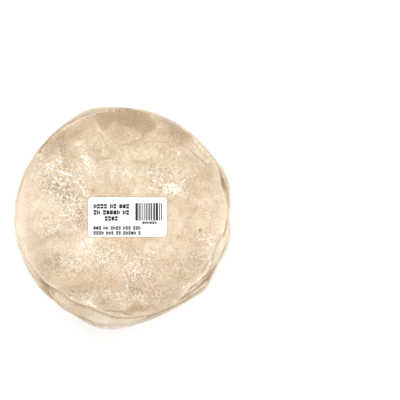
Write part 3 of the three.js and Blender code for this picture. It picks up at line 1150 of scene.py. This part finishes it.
def card_mesh(thickness):
    """The label's card: an oblong with rounded corners and a fine grid of faces."""
    width, depth = LABEL_SIZE
    shape = bmesh.new()
    grid = bmesh.ops.create_grid(shape, x_segments=2, y_segments=2, size=0.5)
    bmesh.ops.scale(shape, vec=(width, depth, 1), verts=grid["verts"])
    bmesh.ops.dissolve_limit(shape, angle_limit=0.01, verts=shape.verts, edges=shape.edges)
    bmesh.ops.bevel(
        shape,
        geom=list(shape.verts),
        offset=LABEL_CORNER,
        offset_type="OFFSET",
        segments=CORNER_STEPS,
        profile=0.5,
        affect="VERTICES",
        material=-1,
    )
    for step in range(1, CARD_COLUMNS):
        cut_across(shape, (width * (step / CARD_COLUMNS - 0.5), 0, 0), (1, 0, 0))
    for step in range(1, CARD_ROWS):
        cut_across(shape, (0, depth * (step / CARD_ROWS - 0.5), 0), (0, 1, 0))
    raised = bmesh.ops.extrude_face_region(shape, geom=list(shape.faces))
    top = [part for part in raised["geom"] if isinstance(part, bmesh.types.BMVert)]
    bmesh.ops.translate(shape, vec=(0, 0, 1), verts=top)
    bmesh.ops.recalc_face_normals(shape, faces=shape.faces)
    bmesh.ops.translate(shape, vec=(*LABEL_AT, 0), verts=shape.verts)
    mesh = mesh_from(shape, "label_paper")
    drape(mesh, thickness)
    return mesh


def cut_across(shape, point, normal):
    geom = list(shape.verts) + list(shape.edges) + list(shape.faces)
    bmesh.ops.bisect_plane(shape, geom=geom, plane_co=point, plane_no=normal)


def print_blocks():
    """The label's print, as oblongs of (centre x, centre y, width, height) from the label's middle."""
    draw = random.Random(20)
    blocks = []
    for left, right, y, height, words in PRINT_ROWS:
        step = (right - left) / (sum(words) + WORD_GAP * (len(words) - 1))
        x = left
        for count in words:
            for _ in range(count):
                kind = draw.choice(["across", "down", "across", "none"])
                blocks += print_sign(kind, x + step / 2, y, step * 0.88, height)
                x += step
            x += WORD_GAP * step

    x = BARS_FROM
    while x < BARS_TO:
        width = draw.choice(BAR_WIDTHS)
        blocks.append((x + width / 2, BARS_AT, width, BARS_HEIGHT))
        x += width + draw.choice(BAR_GAPS)
    return blocks


def print_sign(slit, x, y, width, height):
    """One block of print with a slit across it or down it, or none."""
    if slit == "across":
        upper = (x, y + height * 0.28, width, height * 0.46)
        return [upper, (x, y - height * 0.28, width * 0.9, height * 0.46)]
    if slit == "down":
        left = (x - width * 0.28, y, width * 0.44, height)
        return [left, (x + width * 0.28, y, width * 0.44, height * 0.8)]
    return [(x, y, width, height * 0.9)]


def print_mesh():
    """The print, as thin closed oblongs that lie on the paper."""
    shape = bmesh.new()
    for x, y, width, height in print_blocks():
        cube = bmesh.ops.create_cube(shape, size=1)
        bmesh.ops.scale(shape, vec=(width, height, 1), verts=cube["verts"])
        place = (x + LABEL_AT[0], y + LABEL_AT[1], 0.5)
        bmesh.ops.translate(shape, vec=place, verts=cube["verts"])
    return mesh_from(shape, "label_print")


class PITA_OT_breads(bpy.types.Operator):
    """Add the breads with their crust, flour and rims"""

    bl_idname = "pita_pack.breads"
    bl_label = "Add Breads"

    def execute(self, context):
        add_breads(context.scene.pita_bread)
        return {"FINISHED"}


class PITA_OT_film(bpy.types.Operator):
    """Add the clear film round the stack"""

    bl_idname = "pita_pack.film"
    bl_label = "Add Film"

    def execute(self, context):
        looks = context.scene.pita_film
        add_piece(film_mesh(looks), film_material(looks), "film")
        return {"FINISHED"}


class PITA_OT_label(bpy.types.Operator):
    """Add the paper label and its print"""

    bl_idname = "pita_pack.label"
    bl_label = "Add Label"

    def execute(self, context):
        looks = context.scene.pita_label
        thickness = looks.thickness / MM
        paper = add_piece(card_mesh(thickness), paper_material(looks), "label_paper", "label")
        paper.data.shade_flat()
        ink = print_mesh()
        drape(ink, INK_THICKNESS, thickness - INK_SUNK)
        add_piece(ink, ink_material(looks), "label_paper").data.shade_flat()
        return {"FINISHED"}


class PITA_OT_stage(bpy.types.Operator):
    """Add the floor, the lights and the camera"""

    bl_idname = "pita_pack.stage"
    bl_label = "Add Stage"

    def execute(self, context):
        looks = context.scene.pita_stage
        add_floor(looks)
        add_lights(looks)
        add_camera(looks)
        context.scene.view_settings.view_transform = "Standard"
        return {"FINISHED"}


def add_floor(looks):
    shape = bmesh.new()
    bmesh.ops.create_grid(shape, x_segments=1, y_segments=1, size=FLOOR_HALF)
    floor = add_object("floor", mesh_from(shape, "floor"))
    finish = Finish("Floor")
    finish.set(
        Base_Color=looks.floor,
        Roughness=0.9,
        Emission_Color=looks.floor,
        Emission_Strength=FLOOR_GLOW,
    )
    floor.data.materials.append(finish.material)


def add_lights(looks):
    out, up = LAMP_DISTANCE * math.cos(LAMP_RISE), LAMP_DISTANCE * math.sin(LAMP_RISE)
    for name, angle, share in LAMPS:
        turn = math.radians(angle)
        place = Vector((out * math.cos(turn), out * math.sin(turn), up))
        lamp = bpy.data.lights.new(name, "AREA")
        lamp.shape = "DISK"
        lamp.size = LAMP_SIZE
        lamp.energy = looks.key * share
        light = add_object(name, lamp)
        light.location = place
        light.rotation_euler = (-place).to_track_quat("-Z", "Y").to_euler()
        light.visible_camera = False
    world = bpy.data.worlds.new("Studio")
    world.use_nodes = True
    background = world.node_tree.nodes["Background"]
    background.inputs["Color"].default_value = (1, 1, 1, 1)
    background.inputs["Strength"].default_value = looks.fill
    bpy.context.scene.world = world


def add_camera(looks):
    lens = bpy.data.cameras.new("camera")
    lens.sensor_fit = "HORIZONTAL"
    lens.angle = 2 * math.atan(FRAME_WIDTH * MM / 2 / looks.distance)
    camera = add_object("camera", lens)
    centre = stack_centre()
    camera.location = (
        centre.x + FRAME_MIDDLE[0] * MM,
        centre.y + FRAME_MIDDLE[1] * MM,
        PITCH * PITA_COUNT * MM + looks.distance,
    )
    bpy.context.scene.camera = camera


class PITA_PT_pack(bpy.types.Panel):
    """The pack's pieces and their looks"""

    bl_label = "Pita Pack"
    bl_idname = "PITA_PT_pack"
    bl_space_type = "VIEW_3D"
    bl_region_type = "UI"
    bl_category = "Pita Pack"

    def draw(self, context):
        for group, operator in PANEL_ROWS:
            looks = getattr(context.scene, group)
            column = self.layout.column(align=True)
            for name in looks.__annotations__:
                column.prop(looks, name)
            column.operator(operator.bl_idname)


LOOKS = {
    "pita_bread": BreadLooks,
    "pita_film": FilmLooks,
    "pita_label": LabelLooks,
    "pita_stage": StageLooks,
}
OPERATORS = (PITA_OT_breads, PITA_OT_film, PITA_OT_label, PITA_OT_stage)
PANEL_ROWS = tuple(zip(LOOKS, OPERATORS))


def register():
    for part in (*LOOKS.values(), *OPERATORS, PITA_PT_pack):
        bpy.utils.register_class(part)
    for name, group in LOOKS.items():
        setattr(bpy.types.Scene, name, PointerProperty(type=group))


def unregister():
    for name in LOOKS:
        delattr(bpy.types.Scene, name)
    for part in (PITA_PT_pack, *OPERATORS, *reversed(LOOKS.values())):
        bpy.utils.unregister_class(part)


def main():
    register()
    bpy.ops.pita_pack.stage()
    bpy.ops.pita_pack.breads()
    bpy.ops.pita_pack.film()
    bpy.ops.pita_pack.label()


if __name__ == "__main__":
    main()
